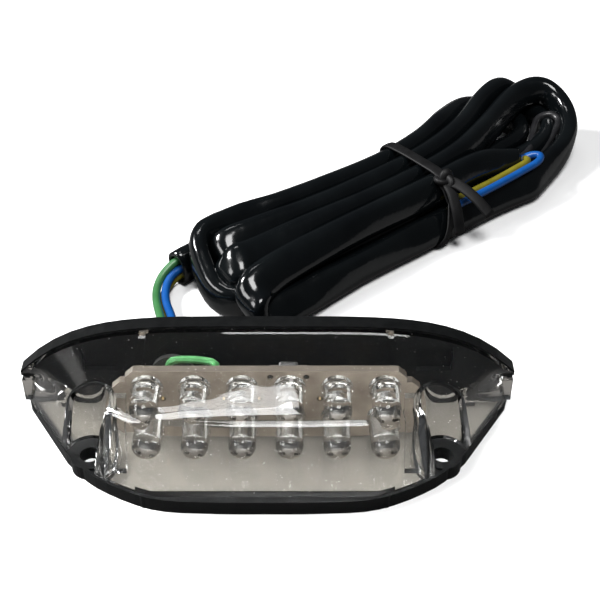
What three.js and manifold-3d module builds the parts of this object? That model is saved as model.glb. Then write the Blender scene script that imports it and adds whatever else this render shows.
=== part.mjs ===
// A small clear-lens LED tail light for a motorcycle, with its three-core lead folded into a tied hank.
// Millimetres. +X is to the lamp's side, +Y to its back wall, +Z up. The lamp rests on z = 0 and the
// origin is under the middle of the lamp itself, without its lead.
import * as THREE from 'three';
import { ConvexGeometry } from 'three/addons/geometries/ConvexGeometry.js';
import { mergeVertices } from 'three/addons/utils/BufferGeometryUtils.js';
import Module from 'manifold-3d';

const wasm = await Module();
wasm.setup();

// ---- driving dimensions ----
const HALF_WIDTH = 46.6;
const DEPTH = 30;
const FRONT = -DEPTH / 2;
const BACK = DEPTH / 2;
const HEIGHT = 20;
const END_DROP = 11.2; // how much lower the back wall is at its ends than in the middle
const ARCH_POWER = 4.6; // how late the back wall's top edge starts to fall away
const GAP = 0.3; // clearance between neighbouring pieces

const WALL = 2.9; // thickness of the black back wall
const RIM_HEIGHT = 2.9; // the black ring's outer rim
const RIM = 0.6;
const LEDGE_HEIGHT = 1;
const LEDGE = 2.4; // how far in from the outline the ring's ledge reaches
const LIP_HALF = 21; // the thick front lip between the two screw recesses
const LIP_THICK = 1.9;
const LIP_HEIGHT = 3;

const POCKET = { x: 31, low: 8.5, high: 14, floor: BACK - 1.7 }; // shallow relief in the wall behind each recess

const WINDOW_LOW = LEDGE_HEIGHT + GAP;
const WINDOW_HIGH = WINDOW_LOW + 0.9;
const LENS_WALL = 1.4;
const LENS_FOOT = WINDOW_HIGH + GAP;
const CREASE_HEIGHT = 16.8;
const CREASE_DROP = 6.5;
const CREASE_INSET = 4.4;
const FRONT_STEP = 0.9; // the lens front starts this far behind the black lip's face

const SCREW_X = 31.8;
const SCREW_Y = FRONT + 11.5;
const SCREW_HOLE_R = 1.8;
const EAR_HEIGHT = 2.4;
const SEAT_R = 3.5; // the raised ring under the screw's head, up to the rim's height
const POD_R = 5.4;
const RECESS_R = 3.9;
const MOUTH = { radius: 5, low: 12.2, high: 16.6 }; // the recess widens to this at its top

const BOARD_Y = FRONT + 18.4; // front face of the circuit board
const BOARD_THICK = 1.6;
const BOARD_HALF = 25.1;
const BOARD_EAR_HALF = 27.6;
const BOARD_LOW = 2.5;
const BOARD_STEP = 13.6;
const BOARD_TOP = 16.2;

const LED_PITCH = 8.5;
const LED_COLUMNS = 6;
const LED_ROWS = [5.4, 12.8]; // axis heights of the two rows
const LED_R = 2.5;
const LED_FLANGE_R = 2.9;
const LED_FLANGE = 1;
const LED_LENGTH = 8.6;
const LEAD_SPACING = 1.27; // from the lamp's axis to each of its two legs
const LEAD_WIDE = 0.5;
const LEAD_HOLE_R = 0.6;

const WIRE_R = 0.9;
const GROMMET = { x: -17.5, z: 9, bore: 3.2, flange: 4.2 };
const WIRE_SIDE = 1.05; // spacing of the three wires about the grommet's axis

const HANK = { ax: -2.5, ay: 51.4, bx: 63.3, by: 108.4, radius: 16, low: 1.2, high: 15 };
const BAND = { along: 0.5, wide: 3.2, thick: 0.8 };

// ---- materials ----
function material(color, roughness, metalness = 0, opacity = 1) {
  return new THREE.MeshStandardMaterial({ color, roughness, metalness, opacity, transparent: opacity < 1 });
}
const BLACK_PLASTIC = material(0x17181a, 0.45);
const CLEAR_PLASTIC = material(0xe4e8ea, 0.05, 0, 0.3);
const LAMINATE = material(0x8b7860, 0.6);
const CLEAR_EPOXY = material(0xe8ecee, 0.05, 0, 0.4);
const SILVER = material(0xc4c6c8, 0.3, 1);
const RESISTOR_BODY = material(0xc7ad82, 0.5);
const BLACK_RUBBER = material(0x141414, 0.7);
const GREEN_PVC = material(0x3f9a4a, 0.35);
const YELLOW_PVC = material(0xc9b428, 0.35);
const BLUE_PVC = material(0x1667b8, 0.35);
const BLACK_PVC = material(0x0b0c0e, 0.2);
const TIE_PVC = material(0x1a1a1b, 0.5);

const lamp = new THREE.Group();

// ---- solids ----
function solidOf(geometry) {
  const bare = geometry.index ? geometry.toNonIndexed() : geometry.clone();
  bare.deleteAttribute('normal');
  bare.deleteAttribute('uv');
  const merged = mergeVertices(bare, 1e-4);
  return new wasm.Manifold(new wasm.Mesh({
    numProp: 3,
    vertProperties: new Float32Array(merged.attributes.position.array),
    triVerts: new Uint32Array(merged.index.array),
  }));
}

function geometryOf(solid) {
  const mesh = solid.getMesh();
  const geometry = new THREE.BufferGeometry();
  geometry.setAttribute('position', new THREE.BufferAttribute(mesh.vertProperties, 3));
  geometry.setIndex(new THREE.BufferAttribute(mesh.triVerts, 1));
  geometry.computeVertexNormals();
  return geometry;
}

function add(name, geometry, look) {
  const mesh = new THREE.Mesh(geometry, look);
  mesh.name = name;
  lamp.add(mesh);
  return mesh;
}

function shapeOf(points) {
  return new THREE.Shape(points.map(([a, b]) => new THREE.Vector2(a, b)));
}

// A flat outline in X and Y, raised from low to high.
function prismZ(points, low, high) {
  const geometry = new THREE.ExtrudeGeometry(shapeOf(points), { depth: high - low, bevelEnabled: false });
  return solidOf(geometry.translate(0, 0, low));
}

// A flat outline in X and Z, running from y = near to y = far.
function prismY(points, near, far) {
  const geometry = new THREE.ExtrudeGeometry(shapeOf(points), { depth: far - near, bevelEnabled: false });
  return solidOf(geometry.rotateX(Math.PI / 2).translate(0, far, 0));
}

// A flat outline in Y and Z, running from x = left to x = right.
function prismX(points, left, right) {
  const geometry = new THREE.ExtrudeGeometry(shapeOf(points), { depth: right - left, bevelEnabled: false });
  const axes = new THREE.Matrix4().makeBasis(
    new THREE.Vector3(0, 1, 0), new THREE.Vector3(0, 0, 1), new THREE.Vector3(1, 0, 0));
  return solidOf(geometry.applyMatrix4(axes).translate(left, 0, 0));
}

function box(low, high) {
  const size = high.map((value, i) => value - low[i]);
  const middle = high.map((value, i) => (value + low[i]) / 2);
  return solidOf(new THREE.BoxGeometry(...size).translate(...middle));
}

function uprightCylinder(x, y, radius, low, high, sides = 32) {
  const geometry = new THREE.CylinderGeometry(radius, radius, high - low, sides);
  return solidOf(geometry.rotateX(Math.PI / 2).translate(x, y, (low + high) / 2));
}

function cylinderAlongY(x, z, radius, near, far, sides = 24) {
  const geometry = new THREE.CylinderGeometry(radius, radius, far - near, sides);
  return solidOf(geometry.translate(x, (near + far) / 2, z));
}

function mirrored(points) {
  return [...points, ...points.slice().reverse().map(([x, ...rest]) => [-x, ...rest])];
}

// ---- the lamp's outline ----
// The front is a shallow boat shape with a straight back: half of it, from the middle to the back corner,
// as a smooth curve. An inset moves it inwards on every side.
const HALF_OUTLINE = [[0, 0], [9.6, 0.1], [20, 1.1], [30.2, 6.1], [36.2, 12], [45.3, 26], [HALF_WIDTH, DEPTH]];

function outline(inset, backInset = inset) {
  const middle = HALF_OUTLINE.slice(0, -2).map(([x, y]) => new THREE.Vector2(x, y));
  const curve = new THREE.SplineCurve(middle).getPoints(16);
  const corner = HALF_OUTLINE.slice(-2).map(([x, y]) => new THREE.Vector2(x, y));
  const right = [...curve, ...corner];
  const moved = right.map((point, i) => {
    const before = right[Math.max(i - 1, 0)];
    const after = right[Math.min(i + 1, right.length - 1)];
    const along = after.clone().sub(before).normalize();
    if (i === 0) along.set(1, 0);
    return [point.x - along.y * inset, point.y + along.x * inset + FRONT];
  });
  const back = BACK - backInset;
  while (moved[moved.length - 2][1] > back - 0.1) moved.pop();
  const [x0, y0] = moved[moved.length - 2];
  const [x1, y1] = moved[moved.length - 1];
  moved[moved.length - 1] = [x0 + ((x1 - x0) * (back - y0)) / (y1 - y0), back];
  return [...moved, ...moved.slice(1).reverse().map(([x, y]) => [-x, y])];
}

function archHeight(x) {
  return HEIGHT - END_DROP * Math.abs(x / HALF_WIDTH) ** ARCH_POWER;
}

function arch(half, drop, steps = 28) {
  const points = [];
  for (let i = 0; i <= steps; i += 1) {
    const x = half * (1 - (2 * i) / steps);
    points.push([x, archHeight(x) - drop]);
  }
  return points;
}

// ---- black rear housing: ring, back wall and screw ears in one moulding ----
const WALL_FRONT = BACK - WALL;
const NOTCH = [[HALF_WIDTH - 0.2, 8], [43.9, 7.6], [42.2, 5.4], [38.8, 3.4], [38.8, 0]];

function wallSolid(grow, near, far) {
  const right = NOTCH.map(([x, z]) => [x + grow, z - grow]);
  const left = right.map(([x, z]) => [-x, z]);
  return prismY([...left, ...right.slice().reverse(), ...arch(HALF_WIDTH - 0.2 + grow, -grow)], near, far);
}

function screwEar(side) {
  const ear = uprightCylinder(side * SCREW_X, SCREW_Y, POD_R, 0, EAR_HEIGHT);
  const seat = uprightCylinder(side * SCREW_X, SCREW_Y, SEAT_R, 0, RIM_HEIGHT);
  return ear.intersect(prismZ(outline(0), 0, EAR_HEIGHT)).add(seat);
}

function frontLip() {
  const strip = prismZ(outline(0), 0, LIP_HEIGHT).subtract(prismZ(outline(LIP_THICK), -1, LIP_HEIGHT + 1));
  return strip.intersect(box([-LIP_HALF, FRONT - 1, -1], [LIP_HALF, FRONT + 5, LIP_HEIGHT + 1]));
}

function makeHousing() {
  const rim = prismZ(outline(0), 0, RIM_HEIGHT).subtract(prismZ(outline(RIM, WALL), LEDGE_HEIGHT, RIM_HEIGHT + 1));
  const ring = rim.subtract(prismZ(outline(LEDGE, 1.2), -1, RIM_HEIGHT + 1));
  const openBack = box([-HALF_WIDTH - 1, BACK - WALL - 4, LEDGE_HEIGHT], [HALF_WIDTH + 1, BACK + 1, RIM_HEIGHT + 1]);
  let housing = ring.subtract(openBack).add(wallSolid(0, WALL_FRONT, BACK)).add(frontLip());
  for (const side of [-1, 1]) {
    const lipEnd = uprightCylinder(side * LIP_HALF, FRONT + 2.5, 1.1, 0, LIP_HEIGHT, 16);
    housing = housing.add(lipEnd).add(screwEar(side));
    housing = housing.subtract(uprightCylinder(side * SCREW_X, SCREW_Y, SCREW_HOLE_R, -1, RIM_HEIGHT + 1));
    housing = housing.subtract(box(
      [side * POCKET.x - 3.2, WALL_FRONT - 1, POCKET.low], [side * POCKET.x + 3.2, POCKET.floor, POCKET.high]));
  }
  return housing.subtract(cylinderAlongY(GROMMET.x, GROMMET.z, GROMMET.bore, WALL_FRONT - 1, BACK + 1));
}

// ---- clear lens: sloping front and roof over the ring, with two open screw recesses ----
const LENS_BACK = WALL_FRONT - GAP;

function creaseHeight(x) {
  return CREASE_HEIGHT - CREASE_DROP * Math.abs(x / 42) ** 4;
}

// The convex body between the foot, the crease and the arch at the back. Inset and drop move its walls in and
// its roof down, which gives the hollow.
function shell(inset, low, back, drop) {
  const points = [];
  for (const [x, y] of outline(0.1 + inset, DEPTH / 2 - back)) {
    points.push(new THREE.Vector3(x, Math.max(y, FRONT + FRONT_STEP + inset), low));
  }
  for (const [x, y] of outline(CREASE_INSET + inset, DEPTH / 2 - back)) {
    points.push(new THREE.Vector3(x, y, creaseHeight(x) - drop));
  }
  for (const [x, z] of arch(HALF_WIDTH - 0.2 - inset, drop + GAP)) {
    points.push(new THREE.Vector3(x, back, z));
  }
  return solidOf(new ConvexGeometry(points));
}

function recess(side) {
  const inner = uprightCylinder(side * SCREW_X, SCREW_Y, RECESS_R, EAR_HEIGHT, HEIGHT + 2);
  const toFront = uprightCylinder(side * (SCREW_X + 3), SCREW_Y - 5, RECESS_R, EAR_HEIGHT, HEIGHT + 2);
  const between = prismZ([
    [side * (SCREW_X - 3.35), SCREW_Y - 2],
    [side * (SCREW_X + 3.35), SCREW_Y + 2],
    [side * (SCREW_X + 6.35), SCREW_Y - 3],
    [side * (SCREW_X - 0.35), SCREW_Y - 7],
  ], EAR_HEIGHT, HEIGHT + 2);
  const mouthSize = [MOUTH.radius, RECESS_R, MOUTH.high - MOUTH.low, 32];
  const mouth = solidOf(new THREE.CylinderGeometry(...mouthSize).rotateX(Math.PI / 2)
    .translate(side * SCREW_X, SCREW_Y, (MOUTH.low + MOUTH.high) / 2));
  const above = uprightCylinder(side * SCREW_X, SCREW_Y, MOUTH.radius, MOUTH.high - 0.1, HEIGHT + 2);
  return inner.add(toFront).add(between).add(mouth).add(above);
}

function roofRib(side) {
  const outlineYZ = [
    [LENS_BACK, 17.2], [LENS_BACK, HEIGHT], [BOARD_Y - 1.6, HEIGHT], [BOARD_Y - 1.6, BOARD_TOP + GAP],
    [BOARD_Y + 4, BOARD_TOP + GAP],
  ];
  const middle = side * 22.6;
  return prismX(outlineYZ, middle - 0.6, middle + 0.6);
}

function sideWeb(side) {
  const outlineYZ = [[FRONT + 7.4, 2.9], [FRONT + 8.8, 2.9], [FRONT + 14.6, 14.6], [FRONT + 13.2, 14.6]];
  return prismX(outlineYZ, side > 0 ? 24.3 : -27, side > 0 ? 27 : -24.3);
}

// Clear plate that closes the back corner where the black wall is cut away.
function cornerPlate(side) {
  const plan = [[39.3, LENS_FOOT], [46.2, LENS_FOOT], [46.2, 7.6], [44.1, 7.2], [42.6, 4.9], [39.3, 3.1]];
  return prismY(plan.map(([x, z]) => [side * x, z]), LENS_BACK - 0.6, LENS_BACK + 1.2);
}

function lipRoom() {
  return box([-LIP_HALF - 1.5, FRONT - 1, 0], [LIP_HALF + 1.5, FRONT + 3.9, LIP_HEIGHT + GAP]);
}

function makeLens() {
  const outer = shell(0, LENS_FOOT, LENS_BACK, 0);
  const inner = shell(LENS_WALL, LENS_FOOT - 1, LENS_BACK + 0.5, LENS_WALL);
  let lens = outer.subtract(inner);
  for (const side of [-1, 1]) {
    const pod = uprightCylinder(side * SCREW_X, SCREW_Y, POD_R, EAR_HEIGHT, HEIGHT + 2).intersect(outer);
    lens = lens.add(pod);
    lens = lens.add(roofRib(side).intersect(outer));
    lens = lens.add(sideWeb(side).intersect(outer));
    lens = lens.add(cornerPlate(side));
  }
  for (const side of [-1, 1]) {
    lens = lens.subtract(recess(side));
    const clearEar = uprightCylinder(side * SCREW_X, SCREW_Y, POD_R + GAP, 0, EAR_HEIGHT + GAP);
    lens = lens.subtract(clearEar);
  }
  const rebate = box([-HALF_WIDTH - 1, FRONT - 1, 0], [HALF_WIDTH + 1, BACK, RIM_HEIGHT + GAP])
    .subtract(prismZ(outline(RIM + GAP, 0), -1, RIM_HEIGHT + 2));
  return lens.subtract(rebate.intersect(box([-60, -60, 0], [60, WALL_FRONT - 4, HEIGHT]))).subtract(lipRoom());
}

// ---- clear window that closes the underside inside the ring ----
function makeWindow() {
  let plate = prismZ(outline(RIM + GAP, WALL + GAP), WINDOW_LOW, WINDOW_HIGH).subtract(lipRoom());
  for (const side of [-1, 1]) {
    plate = plate.subtract(uprightCylinder(side * SCREW_X, SCREW_Y, POD_R + GAP, 0, RIM_HEIGHT));
  }
  return plate;
}

// ---- circuit board, standing on its lower edge, with its lamps, resistors and diode ----
const LED_X = Array.from({ length: LED_COLUMNS }, (_, i) => (i - (LED_COLUMNS - 1) / 2) * LED_PITCH);
const RESISTORS = [[-15.5, 9.5], [-4.5, 9.5], [6.5, 9.5], [17.5, 9.5]];
const DIODE = [4, 14.9];
const PART_LEG = 3.2; // from the middle of a resistor or the diode to each leg

function makeBoard() {
  const corner = 1.5;
  const plan = mirrored([
    [0, BOARD_LOW], [BOARD_EAR_HALF - corner, BOARD_LOW], [BOARD_EAR_HALF, BOARD_LOW + corner],
    [BOARD_EAR_HALF, BOARD_STEP - corner], [BOARD_EAR_HALF - corner, BOARD_STEP], [BOARD_HALF, BOARD_STEP],
    [BOARD_HALF, BOARD_TOP - corner], [BOARD_HALF - corner, BOARD_TOP], [0, BOARD_TOP],
  ]).filter(([x], i, all) => x !== 0 || all.findIndex(([v, w]) => v === 0 && w === all[i][1]) === i);
  let board = prismY(plan, BOARD_Y, BOARD_Y + BOARD_THICK);
  const holes = [];
  for (const x of LED_X) {
    for (const z of LED_ROWS) holes.push([x - LEAD_SPACING, z], [x + LEAD_SPACING, z]);
  }
  for (const [x, z] of [...RESISTORS, DIODE]) holes.push([x - PART_LEG, z], [x + PART_LEG, z]);
  for (const [x, z] of holes) {
    board = board.subtract(cylinderAlongY(x, z, LEAD_HOLE_R, BOARD_Y - 1, BOARD_Y + BOARD_THICK + 1, 6));
  }
  return board;
}

// The dome lamp's body: flange at the board, round nose to the front, and a pocket behind for its lead frame.
const FRAME_POCKET = { radius: 1.9, depth: 5.4 };
const NOSE_STEPS = 4;

function ledProfile() {
  const noseStart = LED_LENGTH - LED_R;
  const points = [[FRAME_POCKET.radius, 0], [LED_FLANGE_R, 0], [LED_FLANGE_R, LED_FLANGE], [LED_R, LED_FLANGE]];
  for (let i = 0; i <= NOSE_STEPS; i += 1) {
    const angle = (i / NOSE_STEPS) * (Math.PI / 2);
    points.push([LED_R * Math.cos(angle), noseStart + LED_R * Math.sin(angle)]);
  }
  points[points.length - 1][0] = 0;
  points.push([0, FRAME_POCKET.depth], [FRAME_POCKET.radius, FRAME_POCKET.depth], [FRAME_POCKET.radius, 0]);
  return points.map(([r, along]) => new THREE.Vector2(r, along));
}

function makeLed(x, z) {
  const geometry = new THREE.LatheGeometry(ledProfile(), 16);
  return geometryOf(solidOf(geometry.rotateX(Math.PI).translate(x, BOARD_Y - GAP, z)));
}

// Two legs through the board, one ending in the reflector cup, joined by the thin bond above the chip.
function makeLedFrame(x, z) {
  const half = LEAD_WIDE / 2;
  const tail = BOARD_Y + BOARD_THICK + 1.4;
  const cupLeg = box([x - LEAD_SPACING - half, BOARD_Y - 3.6, z - half], [x - LEAD_SPACING + half, tail, z + half]);
  const postLeg = box([x + LEAD_SPACING - half, BOARD_Y - 4.6, z - half], [x + LEAD_SPACING + half, tail, z + half]);
  const anvil = box([x - LEAD_SPACING - half, BOARD_Y - 3.6, z - half], [x + 0.45, BOARD_Y - 2.7, z + half]);
  const cup = cylinderAlongY(x - 0.2, z, 0.85, BOARD_Y - 4.5, BOARD_Y - 3.3, 12);
  const bond = box([x - 0.1, BOARD_Y - 4.9, z - 0.12], [x + LEAD_SPACING + half, BOARD_Y - 4.4, z + 0.12]);
  return geometryOf(cupLeg.add(postLeg).add(anvil).add(cup).add(bond));
}

// A barrel lying along X behind the board, on two legs bent into it.
function makeBarrel(x, z, radius, halfLength) {
  const stand = BOARD_Y + BOARD_THICK + GAP + radius;
  const profile = [[0, -halfLength], [radius * 0.8, -halfLength], [radius, -halfLength + 0.4],
    [radius, halfLength - 0.4], [radius * 0.8, halfLength], [0, halfLength]];
  const lathe = new THREE.LatheGeometry(profile.map(([r, along]) => new THREE.Vector2(r, along)), 14);
  const body = solidOf(lathe.rotateZ(Math.PI / 2).translate(x, stand, z));
  const wire = box([x - PART_LEG - 0.2, stand - 0.2, z - 0.2], [x + PART_LEG + 0.2, stand + 0.2, z + 0.2]);
  const legs = [-PART_LEG, PART_LEG].map((at) => (
    box([x + at - 0.2, BOARD_Y - 0.1, z - 0.2], [x + at + 0.2, stand + 0.2, z + 0.2])));
  return geometryOf(body.add(wire).add(legs[0]).add(legs[1]));
}

// ---- wires ----
function tube(points, radius, sides, steps) {
  const section = new THREE.Shape();
  for (let i = 0; i < sides; i += 1) {
    const angle = (2 * Math.PI * i) / sides;
    const corner = [radius * Math.cos(angle), radius * Math.sin(angle)];
    if (i === 0) section.moveTo(...corner);
    else section.lineTo(...corner);
  }
  const route = new THREE.CatmullRomCurve3(points.map(([x, y, z]) => new THREE.Vector3(x, y, z)));
  return new THREE.ExtrudeGeometry(section, { steps, extrudePath: route, bevelEnabled: false });
}

// The three cores sit in a triangle in the grommet: green, yellow, blue.
const CORES = [
  { colour: 'green', look: GREEN_PVC, dx: -WIRE_SIDE, dz: 0.7 },
  { colour: 'yellow', look: YELLOW_PVC, dx: 0, dz: -1.2 },
  { colour: 'blue', look: BLUE_PVC, dx: WIRE_SIDE, dz: 0.7 },
];
const GROMMET_INSIDE = WALL_FRONT - 1.2;
const GROMMET_OUTSIDE = BACK + 1.4;

function makeGrommet() {
  const { bore, flange } = GROMMET;
  const neck = bore - GAP;
  const profile = [[0, GROMMET_INSIDE], [flange - 0.2, GROMMET_INSIDE], [flange - 0.2, WALL_FRONT - GAP],
    [neck, WALL_FRONT - GAP], [neck, BACK + GAP], [flange, BACK + GAP], [flange - 1.2, GROMMET_OUTSIDE],
    [0, GROMMET_OUTSIDE]];
  const lathe = new THREE.LatheGeometry(profile.map(([r, along]) => new THREE.Vector2(r, along)), 28);
  return geometryOf(solidOf(lathe.translate(GROMMET.x, 0, GROMMET.z)));
}

// Inside: each core turns up, across or down to the spot behind the board where it is soldered.
const SOLDER_SPOTS = {
  green: { via: [-17, 8.6, 14.2], spot: [-9.2, 15.2] },
  yellow: { via: [-19.2, 8.6, 6.2], spot: [-21.4, 9.4] },
  blue: { via: [-14.4, 8.8, 8], spot: [-8.6, 6] },
};

function makeInnerWire({ colour, dx, dz }) {
  const { via, spot: [x, z] } = SOLDER_SPOTS[colour];
  const start = GROMMET_INSIDE - GAP;
  const end = BOARD_Y + BOARD_THICK + GAP;
  const route = [
    [GROMMET.x + dx, start, GROMMET.z + dz], [GROMMET.x + dx, start - 0.6, GROMMET.z + dz], via,
    [x, end + 1.4, z], [x, end, z],
  ];
  return tube(route, WIRE_R * 0.8, 8, 14);
}

// Outside: a short free stretch down onto the table, then round to the end of the black sleeve.
const LEAD_ROUTE = [
  [GROMMET.x, GROMMET_OUTSIDE + GAP, GROMMET.z], [-17.7, 19, 8.8], [-18.4, 22.5, 7], [-19.6, 28, 4.2],
  [-21, 34.5, 2.2], [-22.5, 40, 1.6], [-23.2, 45, 1.6], [-22.6, 49, 2.2], [-20.9, 51.2, 2.8],
];

function makeLeadWire({ dx, dz }) {
  const route = LEAD_ROUTE.map(([x, y, z], i) => {
    const before = LEAD_ROUTE[Math.max(i - 1, 0)];
    const after = LEAD_ROUTE[Math.min(i + 1, LEAD_ROUTE.length - 1)];
    const along = Math.hypot(after[0] - before[0], after[1] - before[1]);
    const flat = Math.min(i / 4, 1); // the triangle opens into a flat row on the table
    const side = dx * (1 + flat);
    return [
      x + (side * (after[1] - before[1])) / along,
      y - (side * (after[0] - before[0])) / along,
      Math.max(z + dz * (1 - flat), WIRE_R + 0.1),
    ];
  });
  return tube(route, WIRE_R, 8, 22);
}

// ---- the folded lead and its tie ----
const HANK_LENGTH = Math.hypot(HANK.bx - HANK.ax, HANK.by - HANK.ay);
const HANK_TURN = Math.atan2(HANK.by - HANK.ay, HANK.bx - HANK.ax);

function placeOnHank(geometry) {
  return geometry.rotateZ(HANK_TURN).translate(HANK.ax, HANK.ay, 0);
}

function makeHank() {
  const shape = new THREE.Shape();
  shape.absarc(0, 0, HANK.radius, Math.PI / 2, (3 * Math.PI) / 2, false);
  shape.absarc(HANK_LENGTH, 0, HANK.radius, -Math.PI / 2, Math.PI / 2, false);
  const round = new THREE.ExtrudeGeometry(shape, {
    depth: HANK.high - HANK.low, bevelEnabled: false, curveSegments: 14 });
  return placeOnHank(round.translate(0, 0, HANK.low));
}

function makeBand() {
  const along = HANK_LENGTH * BAND.along;
  const half = HANK.radius + GAP;
  const low = HANK.low - GAP;
  const high = HANK.high + GAP;
  const outer = box([along - BAND.wide / 2, -half - BAND.thick, low - BAND.thick],
    [along + BAND.wide / 2, half + BAND.thick, high + BAND.thick]);
  const inner = box([along - BAND.wide, -half, low], [along + BAND.wide, half, high]);
  return placeOnHank(geometryOf(outer.subtract(inner)));
}

function makeTails() {
  const along = HANK_LENGTH * BAND.along;
  const top = HANK.high + GAP + BAND.thick + GAP;
  const knot = solidOf(new THREE.SphereGeometry(1.8, 14, 10).scale(1, 1, 0.7).translate(along, -7, top + 1.3));
  const tail = box([along, -13.5, top + 0.5], [along + 2.4, -7, top + 1.3]);
  const longTail = box([along, -8, top + 0.9], [along + 9, -6, top + 1.7]);
  return placeOnHank(geometryOf(knot.add(tail).add(longTail)));
}

add('rear_housing', geometryOf(makeHousing()), BLACK_PLASTIC);
add('clear_lens', geometryOf(makeLens()), CLEAR_PLASTIC);
add('number_plate_window', geometryOf(makeWindow()), CLEAR_PLASTIC);
add('circuit_board', geometryOf(makeBoard()), LAMINATE);
LED_ROWS.forEach((z, row) => LED_X.forEach((x, column) => {
  const number = row * LED_COLUMNS + column + 1;
  add(`led_${number}`, makeLed(x, z), CLEAR_EPOXY);
  add(`led_frame_${number}`, makeLedFrame(x, z), SILVER);
}));
RESISTORS.forEach(([x, z], i) => add(`resistor_${i + 1}`, makeBarrel(x, z, 1, 1.9), RESISTOR_BODY));
add('diode', makeBarrel(...DIODE, 0.9, 1.7), BLACK_PLASTIC);
add('cable_grommet', makeGrommet(), BLACK_RUBBER);
for (const core of CORES) {
  add(`inner_wire_${core.colour}`, makeInnerWire(core), core.look);
  add(`lead_wire_${core.colour}`, makeLeadWire(core), core.look);
}
add('cable_hank', makeHank(), BLACK_PVC);
add('tie_band', makeBand(), TIE_PVC);
add('tie_tails', makeTails(), TIE_PVC);

export default lamp;
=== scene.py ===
import math

import bmesh
import bpy
import numpy as np
from mathutils import Matrix, Vector


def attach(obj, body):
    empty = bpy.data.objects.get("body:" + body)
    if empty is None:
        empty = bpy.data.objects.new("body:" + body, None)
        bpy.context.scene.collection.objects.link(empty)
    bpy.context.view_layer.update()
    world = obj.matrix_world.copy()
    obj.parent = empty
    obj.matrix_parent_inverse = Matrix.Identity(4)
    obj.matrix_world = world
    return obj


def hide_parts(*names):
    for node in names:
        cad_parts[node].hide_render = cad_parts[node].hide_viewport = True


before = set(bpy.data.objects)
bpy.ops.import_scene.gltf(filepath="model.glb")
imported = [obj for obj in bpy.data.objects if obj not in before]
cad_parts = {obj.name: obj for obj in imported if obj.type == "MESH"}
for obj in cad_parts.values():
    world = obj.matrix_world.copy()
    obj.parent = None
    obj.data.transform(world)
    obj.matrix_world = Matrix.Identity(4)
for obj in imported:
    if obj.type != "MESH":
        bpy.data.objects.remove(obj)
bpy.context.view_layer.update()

MM = 0.001

# Camera, floor and lights are in metres. The shapes further down are worked out in millimetres.
CAMERA_TARGET = (0.0061, 0.0449, 0)
CAMERA_ELEVATION = 38.5
CAMERA_DISTANCE = 0.2416
CAMERA_LENS = 67.2
FLOOR_HALF = 3.0
FLOOR_SEEN = (0.93, 0.93, 0.93, 1)
# Painted shade: the floor is given a darker colour where it is seen through clear plastic, and a darker one
# still where it is seen in reflections.
FLOOR_PAINTED_SHADE_BEHIND_PLASTIC = (0.112, 0.106, 0.099, 1)
FLOOR_PAINTED_DARK_IN_REFLECTIONS = (0.14, 0.14, 0.14, 1)
WORLD_COLOUR = (0.9, 0.95, 1, 1)
WORLD_STRENGTH = 0.05
# name, place, target, size, watts: the strip is the window that shows on the roof of the lens
LIGHTS = [
    ("softbox", (-0.66, 0.15, 0.61), (-0.01, 0.04, 0), (0.28, 0.18), 15),
    ("strip", (-0.098, 0.316, 0.62), (-0.01, 0.0, 0), (0.21, 0.036), 0.33),
    ("overhead", (0.1, -0.25, 0.9), (0.02, 0.04, 0), (0.4, 0.4), 8),
    ("side", (-0.8, -0.3, 0.5), (0.0, 0.03, 0), (0.3, 0.3), 3),
]


# ---- camera, floor and lights ----
def point_at(obj, target):
    obj.rotation_mode = "QUATERNION"
    obj.rotation_quaternion = (Vector(target) - obj.location).to_track_quat("-Z", "Y")


def make_camera():
    data = bpy.data.cameras.new("camera")
    data.lens = CAMERA_LENS
    data.sensor_width = 36
    data.clip_start = 0.01
    data.clip_end = 20
    camera = bpy.data.objects.new("camera", data)
    bpy.context.scene.collection.objects.link(camera)
    target = Vector(CAMERA_TARGET)
    elevation = math.radians(CAMERA_ELEVATION)
    camera.location = target + CAMERA_DISTANCE * Vector((0, -math.cos(elevation), math.sin(elevation)))
    point_at(camera, target)
    bpy.context.scene.camera = camera


def area_light(name, place, target, size, power):
    data = bpy.data.lights.new(name, "AREA")
    data.shape = "RECTANGLE"
    data.size, data.size_y = size
    data.energy = power
    light = bpy.data.objects.new(name, data)
    bpy.context.scene.collection.objects.link(light)
    light.location = place
    point_at(light, target)
    return light


def node(tree, kind, **inputs):
    """A shader node with the named inputs set. An underscore in a name stands for a space."""
    made = tree.nodes.new(kind)
    for name, value in inputs.items():
        made.inputs[name.replace("_", " ")].default_value = value
    return made


def mix_shaders(tree, factor, first, second):
    mix = tree.nodes.new("ShaderNodeMixShader")
    tree.links.new(factor, mix.inputs["Fac"])
    tree.links.new(first.outputs[0], mix.inputs[1])
    tree.links.new(second.outputs[0], mix.inputs[2])
    return mix


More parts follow.
